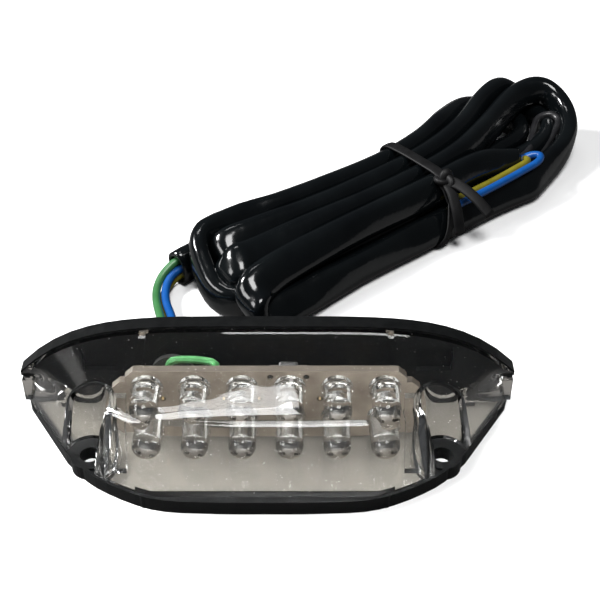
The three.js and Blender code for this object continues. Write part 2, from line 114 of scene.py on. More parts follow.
def make_floor():
    """White where it is seen directly. Grey-beige through clear plastic, which is painted shade, and dark in
    reflections, which is painted shade in reflections.
    """
    mesh = bpy.data.meshes.new("floor")
    far = FLOOR_HALF
    mesh.from_pydata([(-far, -far, 0), (far, -far, 0), (far, far, 0), (-far, far, 0)], [], [(0, 1, 2, 3)])
    floor = bpy.data.objects.new("floor", mesh)
    bpy.context.scene.collection.objects.link(floor)
    material = bpy.data.materials.new("floor")
    material.use_nodes = True
    tree = material.node_tree
    tree.nodes.clear()
    seen = node(tree, "ShaderNodeBsdfDiffuse", Color=FLOOR_SEEN)
    painted_shade_behind = node(tree, "ShaderNodeBsdfDiffuse", Color=FLOOR_PAINTED_SHADE_BEHIND_PLASTIC)
    painted_dark_mirrored = node(tree, "ShaderNodeBsdfDiffuse", Color=FLOOR_PAINTED_DARK_IN_REFLECTIONS)
    path = tree.nodes.new("ShaderNodeLightPath")
    # Painted shade: the floor's colour is picked by the kind of ray, so it is darker through plastic and in
    # reflections than where it is seen directly.
    shade_of = mix_shaders(tree, path.outputs["Is Glossy Ray"], painted_shade_behind, painted_dark_mirrored)
    shade_of = mix_shaders(tree, path.outputs["Is Transmission Ray"], shade_of, painted_shade_behind)
    shade_of = mix_shaders(tree, path.outputs["Is Camera Ray"], shade_of, seen)
    out = tree.nodes.new("ShaderNodeOutputMaterial")
    tree.links.new(shade_of.outputs[0], out.inputs[0])
    mesh.materials.append(material)


def make_lights():
    for light in LIGHTS:
        area_light(*light)
    world = bpy.data.worlds.new("world")
    bpy.context.scene.world = world
    world.use_nodes = True
    tree = world.node_tree
    background = tree.nodes.get("Background") or tree.nodes.new("ShaderNodeBackground")
    background.inputs["Color"].default_value = WORLD_COLOUR
    background.inputs["Strength"].default_value = WORLD_STRENGTH
    bpy.context.scene.view_settings.view_transform = "Standard"


make_camera()
make_floor()
make_lights()


# ---- materials ----
def principled(name, **inputs):
    material = bpy.data.materials.new(name)
    material.use_nodes = True
    tree = material.node_tree
    shader = tree.nodes["Principled BSDF"]
    for key, value in inputs.items():
        shader.inputs[key.replace("_", " ")].default_value = value
    return material, tree, shader


def object_noise(tree, scale, detail=2.0):
    """Noise that is fixed to the object. The scale is in waves per metre."""
    coords = tree.nodes.new("ShaderNodeTexCoord")
    noise = node(tree, "ShaderNodeTexNoise", Scale=scale, Detail=detail)
    tree.links.new(coords.outputs["Object"], noise.inputs["Vector"])
    return noise


def add_bump(tree, shader, height, distance, strength=1.0):
    bump = node(tree, "ShaderNodeBump", Strength=strength, Distance=distance)
    tree.links.new(height, bump.inputs["Height"])
    tree.links.new(bump.outputs[0], shader.inputs["Normal"])
    return bump


def ramp(tree, source, stops):
    """Colour ramp fed by a value. Each stop is (position, colour)."""
    made = tree.nodes.new("ShaderNodeValToRGB")
    line = made.color_ramp
    while len(line.elements) < len(stops):
        line.elements.new(0.5)
    for element, (place, colour) in zip(line.elements, stops):
        element.position = place
        element.color = colour
    tree.links.new(source, made.inputs[0])
    return made


def varied(name, low, high, roughness, noise_scale, bump=0.00002, **inputs):
    """A plastic whose colour and roughness drift a little between two values, with a faint uneven surface."""
    material, tree, shader = principled(name, **inputs)
    noise = object_noise(tree, noise_scale, 4)
    colour = ramp(tree, noise.outputs["Fac"], [(0.3, (*low, 1)), (0.7, (*high, 1))])
    tree.links.new(colour.outputs["Color"], shader.inputs["Base Color"])
    spread = node(tree, "ShaderNodeMapRange")
    spread.inputs["To Min"].default_value = roughness[0]
    spread.inputs["To Max"].default_value = roughness[1]
    tree.links.new(noise.outputs["Fac"], spread.inputs["Value"])
    tree.links.new(spread.outputs[0], shader.inputs["Roughness"])
    fine = object_noise(tree, noise_scale * 3, 2)
    add_bump(tree, shader, fine.outputs["Fac"], bump)
    return material


SLEEVE_BLACK = varied("sleeve_black", (0.0015, 0.002, 0.0025), (0.003, 0.004, 0.0045), (0.08, 0.20), 90,
                      0.00012)
TIE_BLACK = varied("tie_black", (0.003, 0.003, 0.0032), (0.006, 0.006, 0.0065), (0.45, 0.6), 400,
                   Specular_IOR_Level=0.2)
WIRE_GREEN = varied("wire_green", (0.029, 0.116, 0.037), (0.038, 0.15, 0.049), (0.28, 0.4), 300)
WIRE_BLUE = varied("wire_blue", (0.002, 0.053, 0.22), (0.004, 0.070, 0.27), (0.28, 0.4), 300)
WIRE_YELLOW = varied("wire_yellow", (0.135, 0.117, 0.009), (0.17, 0.15, 0.013), (0.28, 0.4), 300)
WIRE_BLACK = varied("wire_black", (0.006, 0.006, 0.007), (0.012, 0.012, 0.013), (0.28, 0.4), 300)


# ---- mesh tools ----
def new_object(name, mesh, material=None, body="root", smooth=True):
    obj = bpy.data.objects.new(name, mesh)
    bpy.context.scene.collection.objects.link(obj)
    if material is not None:
        mesh.materials.clear()
        mesh.materials.append(material)
        mesh.polygons.foreach_set("material_index", [0] * len(mesh.polygons))
    if smooth:
        mesh.polygons.foreach_set("use_smooth", [True] * len(mesh.polygons))
    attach(obj, body)
    return obj


def mesh_of(name, points, faces):
    mesh = bpy.data.meshes.new(name)
    mesh.from_pydata([tuple(p) for p in points], [], faces)
    mesh.validate()
    mesh.update()
    return mesh


def smooth_line(points, step):
    """Catmull-Rom curve through the points, resampled to equal steps."""
    p = np.array(points, float)
    p = np.vstack([2 * p[0] - p[1], p, 2 * p[-1] - p[-2]])
    fine = []
    for a, b, c, d in zip(p[:-3], p[1:-2], p[2:-1], p[3:]):
        for u in np.linspace(0, 1, 24, endpoint=False):
            fine.append(0.5 * (2 * b + (c - a) * u + (2 * a - 5 * b + 4 * c - d) * u**2
                               + (3 * b - a - 3 * c + d) * u**3))
    fine.append(p[-2])
    return resample(np.array(fine), step)


def resample(line, step):
    """The same line with its points at equal steps along it."""
    run = np.concatenate([[0], np.cumsum(np.linalg.norm(np.diff(line, axis=0), axis=1))])
    count = max(2, int(round(run[-1] / step)) + 1)
    at = np.linspace(0, run[-1], count)
    return np.stack([np.interp(at, run, line[:, k]) for k in range(line.shape[1])], axis=1)


def rounded(half_wide, half_high, sides, power=2.6):
    """Section between an ellipse (power 2) and a rectangle (a large power)."""
    ring = []
    for k in range(sides):
        a = 2 * math.pi * k / sides
        c, s = math.cos(a), math.sin(a)
        ring.append((half_wide * math.copysign(abs(c) ** (2 / power), c),
                     half_high * math.copysign(abs(s) ** (2 / power), s)))
    return ring


# ---- the lamp's own sizes in mm, as in the CAD source. The recess walls are a little wider here ----
HALF_WIDTH = 46.6
FRONT, BACK = -15.0, 15.0
HEIGHT = 20.0
WALL = 2.9
GAP = 0.3
LENS_BACK = BACK - WALL - GAP
LENS_FOOT = 2.5
LENS_WALL = 1.4
RIM_HEIGHT = 2.9
EAR_HEIGHT = 2.4
SCREW_X, SCREW_Y = 31.8, -3.5
EAR_R = 5.4
POD_R, RECESS_R = 6.2, 4.3
LIP_HALF = 21.0
RIB_X, RIB_THICK = 22.6, 1.2
BOARD_Y = FRONT + 18.4
BOARD_TOP = 16.2
LED_X = [(i - 2.5) * 8.5 for i in range(6)]
LED_ROWS = [5.4, 12.8]
HALF_OUTLINE = [(0, 0), (9.6, 0.1), (20, 1.1), (30.2, 6.1), (36.2, 12), (45.3, 26), (46.6, 30)]


def arch_height(x):
    """Height of the back wall's top edge at x."""
    return HEIGHT - 11.2 * np.abs(np.asarray(x) / HALF_WIDTH) ** 4.6


def crease_height(x):
    """Height of the crease between the lens's front and its roof at x."""
    return 16.8 - 6.5 * np.abs(np.asarray(x) / 42) ** 4


def half_outline(inset, back, count):
    """Points from the middle of the front round to the back corner, each moved inwards by its own inset."""
    points = [(-x, y) for x, y in HALF_OUTLINE[1:][::-1]] + HALF_OUTLINE
    line = smooth_line([(x, y + FRONT, 0) for x, y in points], 0.25)[:, :2]
    line = line[np.argmin(np.abs(line[:, 0])):]
    tangent = np.gradient(line, axis=0)
    tangent /= np.linalg.norm(tangent, axis=1, keepdims=True)
    share = np.linspace(0, 1, len(line))
    depth = np.interp(share, *inset) if isinstance(inset, tuple) else np.full(len(line), float(inset))
    moved = line + np.column_stack([-tangent[:, 1], tangent[:, 0]]) * depth[:, None]
    moved = moved[moved[:, 1] <= back]
    end = moved[-1] + (moved[-1] - moved[-2]) / (moved[-1] - moved[-2])[1] * (back - moved[-1][1])
    moved = np.vstack([moved, end])
    run_at = np.concatenate([[0], np.cumsum(np.linalg.norm(np.diff(moved, axis=0), axis=1))])
    at = np.linspace(0, run_at[-1], count)
    return np.stack([np.interp(at, run_at, moved[:, k]) for k in (0, 1)], axis=1)


def both_sides(half):
    """The half outline and its mirror image, from the left back corner to the right one."""
    return np.vstack([half[::-1] * [-1, 1], half[1:]])


HALF_COUNT = 64
CREASE_INSET = ([0, 0.5, 0.8, 1.0], [4.4, 4.2, 2.2, 1.0])


def lens_grid(inset, foot, drop, back):
    """Rows of points from the foot up the front, over the crease and along the roof to the back edge."""
    low = both_sides(half_outline(0.1 + inset, back, HALF_COUNT))
    low[:, 1] = np.maximum(low[:, 1], FRONT + 0.9 + inset)
    crease_inset = (CREASE_INSET[0], [v + inset for v in CREASE_INSET[1]])
    mid = both_sides(half_outline(crease_inset, back, HALF_COUNT))
    count = len(low)
    end_x = HALF_WIDTH - 0.2 - inset
    far_x = mid[:, 0] * end_x / mid[-1, 0]
    foot_row = np.column_stack([low, np.full(count, foot)])
    crease_row = np.column_stack([mid, crease_height(mid[:, 0]) - drop])
    back_row = np.column_stack([far_x, np.full(count, back), arch_height(far_x) - GAP - drop])
    crease_row[:, 2] = np.minimum(crease_row[:, 2], back_row[:, 2] - 0.05)
    rise, run_back = crease_row - foot_row, back_row - crease_row
    reach = np.minimum(1.6, 0.35 * np.linalg.norm(run_back, axis=1))[:, None]
    before = crease_row - rise / np.linalg.norm(rise, axis=1, keepdims=True) * reach
    after = crease_row + run_back / np.maximum(np.linalg.norm(run_back, axis=1, keepdims=True), 1e-6) * reach
    rows = [foot_row + (before - foot_row) * t for t in np.linspace(0, 1, 5)]
    for t in np.linspace(0, 1, 7)[1:-1]:
        rows.append((1 - t) ** 2 * before + 2 * t * (1 - t) * crease_row + t**2 * after)
    rows += [after + (back_row - after) * t for t in np.linspace(0, 1, 9)]
    return np.array(rows)


def grid_faces(rows, columns, start, flip=False):
    """Quads of a grid of points whose first index is start."""
    faces = []
    for r in range(rows - 1):
        for c in range(columns - 1):
            a = start + r * columns + c
            quad = (a, a + 1, a + columns + 1, a + columns)
            faces.append(tuple(reversed(quad)) if flip else quad)
    return faces


def border(rows, columns, start):
    """Indices once round the edge of a grid."""
    ring = list(range(columns))
    ring += [r * columns + columns - 1 for r in range(1, rows)]
    ring += [(rows - 1) * columns + c for c in range(columns - 2, -1, -1)]
    ring += [r * columns for r in range(rows - 2, 0, -1)]
    return [start + i for i in ring]


def shell_mesh(outer, inner):
    """Closed wall between two grids of the same size."""
    rows, columns = outer.shape[:2]
    points = np.vstack([outer.reshape(-1, 3), inner.reshape(-1, 3)]) * MM
    size = rows * columns
    faces = grid_faces(rows, columns, 0) + grid_faces(rows, columns, size, True)
    a, b = border(rows, columns, 0), border(rows, columns, size)
    for k in range(len(a)):
        n = (k + 1) % len(a)
        faces.append((a[n], a[k], b[k], b[n]))
    return closed_mesh("shell", points, faces)


MERGE_DISTANCE = 2e-6


def closed_mesh(name, points, faces, split_caps=False):
    """Mesh with its doubled points merged and its faces looking outwards."""
    mesh = mesh_of(name, points, faces)
    bm = bmesh.new()
    bm.from_mesh(mesh)
    bmesh.ops.remove_doubles(bm, verts=bm.verts, dist=MERGE_DISTANCE)
    if split_caps:
        bmesh.ops.triangulate(bm, faces=[f for f in bm.faces if len(f.verts) > 4])
    bmesh.ops.recalc_face_normals(bm, faces=bm.faces)
    if bm.calc_volume(signed=True) < 0:
        bmesh.ops.reverse_faces(bm, faces=bm.faces)
    bm.to_mesh(mesh)
    bm.free()
    return mesh


def block_under(outer):
    """The whole volume under the lens's outside, as a closed solid."""
    rows, columns = outer.shape[:2]
    points = outer.reshape(-1, 3) * MM
    faces = grid_faces(rows, columns, 0)
    faces.append(tuple(range(columns)))
    rim = border(rows, columns, 0)
    faces.append(tuple(rim[columns - 1:] + rim[:1]))
    return closed_mesh("block", points, faces, split_caps=True)


def prism(points, low, high, axis):
    """Closed prism of a flat outline, whose points are in the other two axes, in alphabetical order."""
    order = {
        "z": lambda a, b, c: (a, b, c),
        "y": lambda a, b, c: (a, c, b),
        "x": lambda a, b, c: (c, a, b),
    }[axis]
    count = len(points)
    verts = [np.array(order(a, b, c)) * MM for c in (low, high) for a, b in points]
    faces = [tuple(range(count)), tuple(range(2 * count - 1, count - 1, -1))]
    faces += [(k, (k + 1) % count, count + (k + 1) % count, count + k) for k in range(count)]
    return closed_mesh("prism", verts, faces)


def lathe(profile, centre, axis="z", sides=64):
    """Closed turned solid. The profile is (radius, along) from one end of the axis to the other."""
    points, faces = [], []
    for r, along in profile:
        for k in range(sides):
            a = 2 * math.pi * k / sides
            across, over = r * math.cos(a), r * math.sin(a)
            p = (across, over, along) if axis == "z" else (across, along, over)
            points.append((np.array(p) + centre) * MM)
    for i in range(len(profile) - 1):
        for k in range(sides):
            a, b = i * sides + k, i * sides + (k + 1) % sides
            faces.append((a, b, b + sides, a + sides))
    faces.append(tuple(range(sides)))
    faces.append(tuple(range(len(points) - sides, len(points))))
    return closed_mesh("lathe", points, faces)


def boolean(mesh, operation, others):
    """Result of adding, cutting or crossing closed meshes, one after another."""
    scene = bpy.context.scene.collection
    main = bpy.data.objects.new("boolean", mesh)
    scene.objects.link(main)
    helpers = []
    for other in others:
        helper = bpy.data.objects.new("helper", other)
        scene.objects.link(helper)
        helpers.append(helper)
        modifier = main.modifiers.new("step", "BOOLEAN")
        modifier.operation = operation
        modifier.solver = "MANIFOLD"
        modifier.object = helper
    graph = bpy.context.evaluated_depsgraph_get()
    made = bpy.data.meshes.new_from_object(main.evaluated_get(graph))
    for obj in [main, *helpers]:
        bpy.data.objects.remove(obj)
    return made


def recess_meshes(side):
    """What is cut from one screw post: the round bore, a channel forwards and its rounded end."""
    x, y, top = side * SCREW_X, SCREW_Y, HEIGHT + 2
    straight = [(RECESS_R, EAR_HEIGHT), (RECESS_R, 12.2), (5.0, 16.6), (5.0, top)]
    bore = lathe(straight, (x, y, 0))
    corners = [(x - side * 3.35, y - 2), (x + side * 3.35, y + 2), (x + side * 6.35, y - 3),
               (x - side * 0.35, y - 7)]
    channel = prism(corners, EAR_HEIGHT, top, "z")
    front = lathe([(RECESS_R, EAR_HEIGHT), (RECESS_R, top)], (x + side * 3, y - 5, 0))
    return [bore, channel, front]


def make_lens():
    """The clear cover: a thin shell with two posts, roof ribs, webs and corner plates, then the cuts."""
    outer = lens_grid(0, LENS_FOOT, 0, LENS_BACK)
    inner = lens_grid(LENS_WALL, LENS_FOOT, LENS_WALL, LENS_BACK)
    inner[:, :, 1] = np.minimum(inner[:, :, 1], LENS_BACK)
    shell = shell_mesh(outer, inner)
    fittings, cuts = [], []
    for side in (-1, 1):
        post_centre = (side * SCREW_X, SCREW_Y, 0)
        fittings.append(lathe([(POD_R, EAR_HEIGHT), (POD_R, HEIGHT + 2)], post_centre))
        rib = [(LENS_BACK, 17.2), (LENS_BACK, HEIGHT), (BOARD_Y - 1.6, HEIGHT),
               (BOARD_Y - 1.6, BOARD_TOP + GAP), (BOARD_Y + 4, BOARD_TOP + GAP)]
        rib_x = side * RIB_X
        fittings.append(prism(rib, rib_x - RIB_THICK / 2, rib_x + RIB_THICK / 2, "x"))
        web = [(FRONT + 7.4, 2.9), (FRONT + 8.8, 2.9), (FRONT + 14.6, 14.6), (FRONT + 13.2, 14.6)]
        fittings.append(prism(web, min(side * 24.3, side * 27), max(side * 24.3, side * 27), "x"))
        plate = [(39.3, LENS_FOOT), (46.2, LENS_FOOT), (46.2, 7.6), (44.1, 7.2), (42.6, 4.9), (39.3, 3.1)]
        fittings.append(prism([(side * x, z) for x, z in plate], LENS_BACK - 0.6, LENS_BACK + 1.2, "y"))
        cuts += recess_meshes(side)
        cuts.append(lathe([(EAR_R + GAP, 0), (EAR_R + GAP, EAR_HEIGHT + GAP)], post_centre))
    # Posts, ribs and webs are trimmed to the lens's outside. The corner plates, fourth of each four, stay.
    block = block_under(outer)
    kept = [boolean(m, "INTERSECT", [block.copy()]) for m in fittings[0:3] + fittings[4:7]]
    kept += [fittings[3], fittings[7]]
    lens = boolean(shell, "UNION", kept)
    room = prism([(-LIP_HALF - 1.5, FRONT - 1), (LIP_HALF + 1.5, FRONT - 1), (LIP_HALF + 1.5, FRONT + 3.9),
                  (-LIP_HALF - 1.5, FRONT + 3.9)], 0, 3 + GAP, "z")
    ring_out = both_sides(half_outline(-1.5, BACK - 6.9, 40))
    ring_in = both_sides(half_outline(0.9, BACK - 6.9, 40))[::-1]
    rebate = prism([tuple(p) for p in np.vstack([ring_out, ring_in])], 0, RIM_HEIGHT + GAP, "z")
    return boolean(lens, "DIFFERENCE", cuts + [room, rebate])


def shade(mesh, angle=32):
    """Smooth shading that breaks at edges sharper than the angle."""
    mesh.polygons.foreach_set("use_smooth", [True] * len(mesh.polygons))
    mesh.set_sharp_from_angle(angle=math.radians(angle))


def add_bevel(obj, width, segments=2, angle=32):
    bevel = obj.modifiers.new("bevel", "BEVEL")
    bevel.width = width * MM
    bevel.segments = segments
    bevel.limit_method = "ANGLE"
    bevel.angle_limit = math.radians(angle)
    bevel.harden_normals = False
    return bevel


def clear(name, tint, roughness, ior, waviness, shadow_tint):
    """Clear moulded plastic. Lamp rays pass straight through it, so what lies inside stays lit."""
    material, tree, shader = principled(name, IOR=ior, Transmission_Weight=1.0, Roughness=roughness)
    shader.inputs["Base Color"].default_value = (*tint, 1)
    wave = object_noise(tree, waviness[0], 2)
    add_bump(tree, shader, wave.outputs["Fac"], waviness[1])
    dust = object_noise(tree, 2600, 2)
    specks = ramp(tree, dust.outputs["Fac"], [(0.73, (roughness,) * 3 + (1,)), (0.79, (0.5, 0.5, 0.5, 1))])
    tree.links.new(specks.outputs["Color"], shader.inputs["Roughness"])
    see_through = node(tree, "ShaderNodeBsdfTransparent", Color=(*shadow_tint, 1))
    path = tree.nodes.new("ShaderNodeLightPath")
    mix = tree.nodes.new("ShaderNodeMixShader")
    out = tree.nodes["Material Output"]
    tree.links.new(path.outputs["Is Shadow Ray"], mix.inputs["Fac"])
    tree.links.new(shader.outputs[0], mix.inputs[1])
    tree.links.new(see_through.outputs[0], mix.inputs[2])
    tree.links.new(mix.outputs[0], out.inputs["Surface"])
    return material


def paint_shade_on_upward_faces(material, colour):
    """Painted shade: the colour darkens towards the given colour wherever a face looks upwards, as on the
    board's top edge.
    """
    tree = material.node_tree
    shader = tree.nodes["Principled BSDF"]
    geometry = tree.nodes.new("ShaderNodeNewGeometry")
    parts = tree.nodes.new("ShaderNodeSeparateXYZ")
    tree.links.new(geometry.outputs["Normal"], parts.inputs[0])
    painted_shade_amount = ramp(tree, parts.outputs["Z"], [(0.3, (0, 0, 0, 1)), (0.6, (1, 1, 1, 1))])
    mix = node(tree, "ShaderNodeMixRGB", Color2=(*colour, 1))
    tree.links.new(painted_shade_amount.outputs["Color"], mix.inputs["Fac"])
    tree.links.new(shader.inputs["Base Color"].links[0].from_socket, mix.inputs["Color1"])
    tree.links.new(mix.outputs[0], shader.inputs["Base Color"])


LENS_PLASTIC = clear("lens_plastic", (0.985, 0.985, 0.98), 0.02, 1.49, (75, 0.00005), (0.92, 0.92, 0.91))
WINDOW_PLASTIC = clear("window_plastic", (0.96, 0.955, 0.94), 0.05, 1.49, (80, 0.00003), (0.9, 0.9, 0.88))
LED_EPOXY = clear("led_epoxy", (0.97, 0.97, 0.965), 0.015, 1.52, (200, 0.00001), (0.9, 0.9, 0.9))
BLACK_ABS = varied("black_abs", (0.0025, 0.0028, 0.003), (0.005, 0.0054, 0.0056), (0.34, 0.48), 500, 0.00003,
                   Specular_IOR_Level=0.14)
SILVER = varied("silver_plate", (0.62, 0.62, 0.61), (0.80, 0.80, 0.79), (0.18, 0.32), 900, 0.00001,
                Metallic=1.0)
LAMINATE = varied("laminate", (0.12, 0.097, 0.074), (0.24, 0.205, 0.165), (0.5, 0.65), 160, 0.00002)
# Painted shade on the board's faces that look upwards, such as its top edge.
paint_shade_on_upward_faces(LAMINATE, (0.045, 0.036, 0.027))
RESISTOR = varied("resistor_lacquer", (0.50, 0.38, 0.20), (0.62, 0.48, 0.28), (0.35, 0.5), 700)
DIODE_BLACK = varied("diode_epoxy", (0.012, 0.012, 0.012), (0.022, 0.022, 0.022), (0.35, 0.5), 700)
RUBBER = varied("rubber", (0.010, 0.010, 0.010), (0.020, 0.020, 0.020), (0.6, 0.8), 400, 0.00004)


def finish_node(name, material, bevel=0.0, angle=32):
    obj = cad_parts[name]
    obj.data.materials.clear()
    obj.data.materials.append(material)
    shade(obj.data, angle)
    if bevel:
        add_bevel(obj, bevel, 2, angle)
    return obj


lens = new_object("lens", make_lens(), LENS_PLASTIC, smooth=False)
shade(lens.data, 34)
add_bevel(lens, 0.12, 2, 34)
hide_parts("clear_lens")

finish_node("rear_housing", BLACK_ABS, 0.22)
finish_node("number_plate_window", WINDOW_PLASTIC)
finish_node("circuit_board", LAMINATE, 0.1)
finish_node("cable_grommet", RUBBER, 0.15)
for index in range(1, 5):
    finish_node(f"resistor_{index}", RESISTOR)
finish_node("diode", DIODE_BLACK)
for colour, material in (("green", WIRE_GREEN), ("yellow", WIRE_YELLOW), ("blue", WIRE_BLUE)):
    finish_node(f"inner_wire_{colour}", material, 0, 60)


# ---- dome lamps ----
def led_mesh():
    """Round-nosed body with its flange against the board, nose towards -y, made about the origin."""
    radius, flange_r, flange, length = 2.5, 2.9, 1.0, 8.6
    profile = [(0.01, 0.0), (flange_r - 0.1, 0.0), (flange_r, -0.1), (flange_r, -flange + 0.12),
               (flange_r - 0.12, -flange), (radius + 0.1, -flange), (radius, -flange - 0.12)]
    nose = length - radius
    profile += [(radius, -(flange + (nose - flange) * t)) for t in (0.33, 0.66)]
    for i in range(0, 15):
        a = i / 14 * math.pi / 2
        profile.append((max(radius * math.cos(a), 0.01), -(nose + radius * math.sin(a))))
    return lathe(profile, (0, 0, 0), "y", 48)


shared_led = led_mesh()
shade(shared_led, 32)
for row, z in enumerate(LED_ROWS):
    for column_index, x in enumerate(LED_X):
        number = row * 6 + column_index + 1
        body = new_object(f"dome_lamp_{number}", shared_led, None, smooth=False)
        body.location = Vector((x, BOARD_Y - GAP, z)) * MM
        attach(body, "root")
        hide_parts(f"led_{number}")
        finish_node(f"led_frame_{number}", SILVER)
shared_led.materials.append(LED_EPOXY)


# ---- the black sleeve, folded into a hank ----
SLEEVE_HIGH = 7.2
SLEEVE_THICK = 4.6
LOW_LAYER = SLEEVE_HIGH / 2 + 0.1
TOP_LAYER = LOW_LAYER + 6.6
HANK_START = np.array([-5.5, 53.5])
HANK_ALONG = np.array([0.7814, 0.624])
HANK_ACROSS = np.array([-0.624, 0.7814])


def hank_point(s, t, z):
    x, y = HANK_START + s * HANK_ALONG + t * HANK_ACROSS
    return (x, y, z)


def column(s, j):
    """Where column j of the bundle lies across the hank, at s along it."""
    centre = np.interp(s, [0, 20, 50, 70, 90], [-6.4, -7.2, -7.2, -3.5, 0.8])
    pitch = np.interp(s, [0, 18, 30, 52, 75, 92], [5.9, 5.0, 4.7, 4.7, 6.2, 6.6])
    return centre + j * pitch


def run(j, heights, rightwards, left=4, right=80, lean=24):
    """One pass along column j. Heights are at the left end, the waist and the right end."""
    at = np.linspace(left, right, 7)
    zs = np.interp(at, [left, left + 14, 58, right], [heights[0], heights[1], heights[1], heights[2]])
    leans = lean + np.interp(at, [left, left + 16], [22 if heights[0] > LOW_LAYER + 1 else 0, 0])
    points = [(s, column(s, j), z, tilt) for s, z, tilt in zip(at, zs, leans)]
    return points if rightwards else points[::-1]


def fold(s_end, j_from, j_to, z_from, z_to, reach, bulge=0.0, lean=80):
    """An upright fold at the left end: out to reach, over itself, and back in."""
    t0, t1 = column(s_end, j_from), column(s_end, j_to)
    middle = (t0 + t1) / 2 + bulge
    z_mid = (z_from + z_to) / 2
    return [
        (s_end - 0.5 * reach, t0 + (middle - t0) * 0.35, z_from, lean * 0.6),
        (s_end - 0.9 * reach, middle, z_from + (z_mid - z_from) * 0.45, lean),
        (s_end - reach, middle, z_mid, lean),
        (s_end - 0.9 * reach, middle, z_to - (z_to - z_mid) * 0.45, lean),
        (s_end - 0.5 * reach, t1 + (middle - t1) * 0.35, z_to, lean * 0.6),
    ]


# The whole sleeve as (along the hank, across it, height, lean), from the lamp to the bare end
L, T = LOW_LAYER, TOP_LAYER
ROUTE = []
ROUTE += [(-13.6, 7.2, 4.1, 10), (-9, 7.8, 4.1, 10), (-3, 7.0, 4.1, 10)]
ROUTE += run(2, (L, L, L), True, right=60)
ROUTE += [(67, 9.5, L, 10), (71, 6.5, L, 10), (68, 2.0, L, 10)]
ROUTE += run(1, (L, L, L), False, right=58)
ROUTE += fold(0, 1, 1, L, T, 8.0, 1.0)
ROUTE += run(1, (T, T, T), True, right=72)
ROUTE += [(82, 10.4, T, 22), (90, 13.0, T, 14), (96.5, 11.5, L + 2, 5), (99.6, 5.5, L, 0), (99, -1.5, L, 0),
          (94, -7.0, L, 0), (84, -9.3, L, 5)]
ROUTE += run(-1, (L, L, L), False, right=70)
ROUTE += [(-7, -12.8, L, 5), (-11.2, -9.0, L, 5), (-12.4, -3.0, L + 1.2, 5), (-10.4, 2.4, T - 2.5, 5),
          (-4, 5.6, T, 10)]
ROUTE += run(2, (T, T, T), True, right=70)
ROUTE += [(80, 14.4, T - 1.5, 20), (87.5, 15.0, L + 2, 10), (92.8, 11.5, L, 5), (93.6, 4.5, L, 0),
          (90, -1.5, L, 0),
          (82, -3.6, L, 0)]
ROUTE += run(0, (L, L, L), False, right=72)
ROUTE += fold(0, 0, 0, L, T, 11.0, -0.5)
ROUTE += run(0, (T, T, T), True, right=62)
ROUTE += [(72, -1.6, T, 30), (82, 3.4, T, 30), (91.5, 7.2, T, 26), (98.8, 6.6, T - 0.3, 14),
          (102.4, 1.2, T - 1, 5),
          (101, -5.6, T - 3, 5), (95.5, -11.0, L + 1.5, 5), (86, -14.2, L, 10)]
ROUTE += run(-2, (L, L, L), False, right=74)
ROUTE += fold(0, -2, -1, L, T, 11.5, -0.5)
ROUTE += run(-1, (T, T, T), True, right=58)
ROUTE += [(63, -10.0, T - 0.5, 35), (67.5, -11.2, 8.4, 35), (72, -12.2, 7.2, 30)]


OWN_NEIGHBOURS = 7
TOUCH = 0.97


def relax(line, lean, rounds=150):
    """Pushes the passes of the bundle apart for a set number of rounds, and keeps them off the table."""
    count = len(line)
    index = np.arange(count)
    far_apart = np.abs(index[:, None] - index[None, :]) > OWN_NEIGHBOURS
    start, end = line[:5].copy(), line[-4:].copy()
    half_high, half_thick = SLEEVE_HIGH / 2, SLEEVE_THICK / 2
    for _ in range(rounds):
        _, wide, thin = sleeve_frames(line, lean)
        gap = line[:, None, :] - line[None, :, :]
        distance = np.linalg.norm(gap, axis=2) + 1e-9
        way = gap / distance[:, :, None]
        reach = np.sqrt((half_high * np.einsum("ijk,ik->ij", way, wide)) ** 2
                        + (half_thick * np.einsum("ijk,ik->ij", way, thin)) ** 2)
        apart = TOUCH * (reach + reach.T)
        push = np.where(far_apart & (distance < apart), apart - distance, 0)
        move = (way * push[:, :, None]).sum(1) / np.maximum((push > 0).sum(1), 1)[:, None]
        line = line + 0.4 * move
        eased = line.copy()
        eased[1:-1] = 0.5 * line[1:-1] + 0.25 * (line[:-2] + line[2:])
        line = 0.7 * line + 0.3 * eased
        tall = np.sqrt((half_high * wide[:, 2]) ** 2 + (half_thick * thin[:, 2]) ** 2)
        line[:, 2] = np.maximum(line[:, 2], 1.15 * tall + 0.25)
        line[:5] = start
        line[-4:] = end
    return line


def sleeve_frames(line, lean):
    """Tangent, wide axis and thin axis of the flat sleeve, whose wide axis leans back from upright."""
    tangent = np.gradient(line, axis=0)
    tangent /= np.linalg.norm(tangent, axis=1, keepdims=True)
    back = np.array([*HANK_ACROSS, 0.0])
    angle = np.radians(lean)[:, None]
    wide = np.cos(angle) * np.array([0, 0, 1.0]) + np.sin(angle) * back
    wide -= tangent * (wide * tangent).sum(1, keepdims=True)
    wide /= np.linalg.norm(wide, axis=1, keepdims=True)
    return tangent, wide, np.cross(tangent, wide)


def sleeve_path():
    points = [(*hank_point(s, t, z), lean) for s, t, z, lean in ROUTE]
    path = smooth_line(points, 2.2)
    line, lean = path[:, :3], path[:, 3]
    line = relax(line, lean)
    path = np.column_stack([line, lean])
    path = smooth_line(path, 1.5)
    return path[:, :3], path[:, 3]


